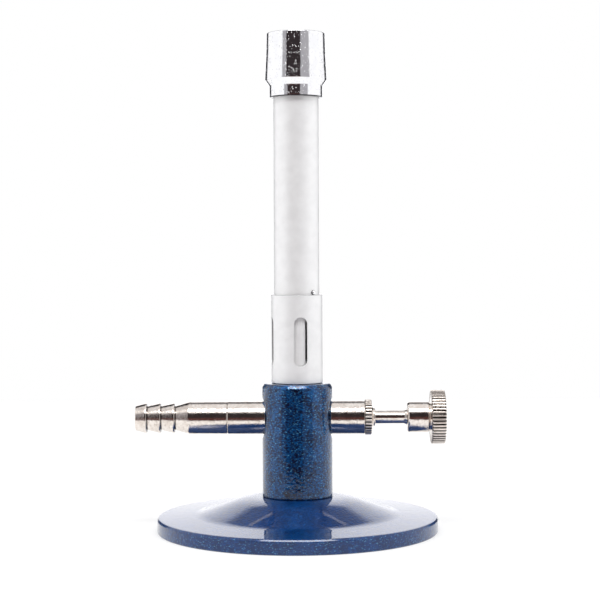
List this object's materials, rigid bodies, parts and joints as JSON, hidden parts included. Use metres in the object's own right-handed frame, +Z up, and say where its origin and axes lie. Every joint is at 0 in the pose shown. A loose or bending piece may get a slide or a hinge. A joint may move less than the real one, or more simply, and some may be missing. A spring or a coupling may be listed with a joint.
{
  "type": "bunsen burner",
  "caption": "Laboratory gas burner with a round weighted foot, barbed hose nozzle, screw-down needle valve, turning air sleeve and flared flame-retention cup.",
  "frame": {"origin": "centre of the foot's underside, on the bench, below the middle of the burner tube", "axes": "+Z up the burner tube, +X from the tube to the valve knob, so the hose nozzle points to -X; -Y is the front"},
  "size_m": [0.0969, 0.088, 0.1555],
  "materials": {
    "blue_enamel": "glossy dark blue hammered metallic enamel",
    "nickel_plate": "polished warm nickel plate",
    "satin_tube": "very pale satin",
    "chrome_cup": "bright mirror plate",
    "jet_brass": "turned",
    "screw_steel": "zinc plated",
    "seal_rubber": "matte",
    "washer_ptfe": "waxy white",
    "washer_fibre": "red vulcanised fibre"
  },
  "bodies": {
    "burner": {"base": "blue_enamel", "base_screw": "screw_steel", "base_lock_washer": "screw_steel", "column": "blue_enamel", "inlet_adapter": "nickel_plate", "nozzle_seal": "seal_rubber", "hose_nozzle": "nickel_plate", "valve_bonnet": "nickel_plate", "gland_nut": "nickel_plate", "gland_washer": "washer_ptfe", "gas_jet": "jet_brass", "jet_washer": "washer_fibre", "barrel": "satin_tube", "collar_stop_pin": "chrome_cup", "flame_stabilizer": "chrome_cup"},
    "air_sleeve": {"air_collar": "satin_tube"},
    "spindle_seal": {"stem_o_ring": "seal_rubber"},
    "valve": {"valve_stem": "nickel_plate", "valve_knob": "nickel_plate", "knob_grub_screw": "screw_steel"}
  },
  "joints": [
    {"name": "air_sleeve_turn", "type": "hinge", "parent": "burner", "child": "air_sleeve", "pos_m": [0, 0, 0.06], "axis": [0, 0, 1], "continuous": true},
    {"name": "valve_travel", "type": "slide", "parent": "burner", "child": "spindle_seal", "axis": [1, 0, 0], "range_m": [0, 0.0024]},
    {"name": "valve_turn", "type": "hinge", "parent": "spindle_seal", "child": "valve", "pos_m": [0.03, 0, 0.0355], "axis": [1, 0, 0], "range_deg": [0, 1080]}
  ],
  "couplings": [
    {"joint": "valve_turn", "follows": "valve_travel", "rad_per_m": 7853.9}
  ]
}
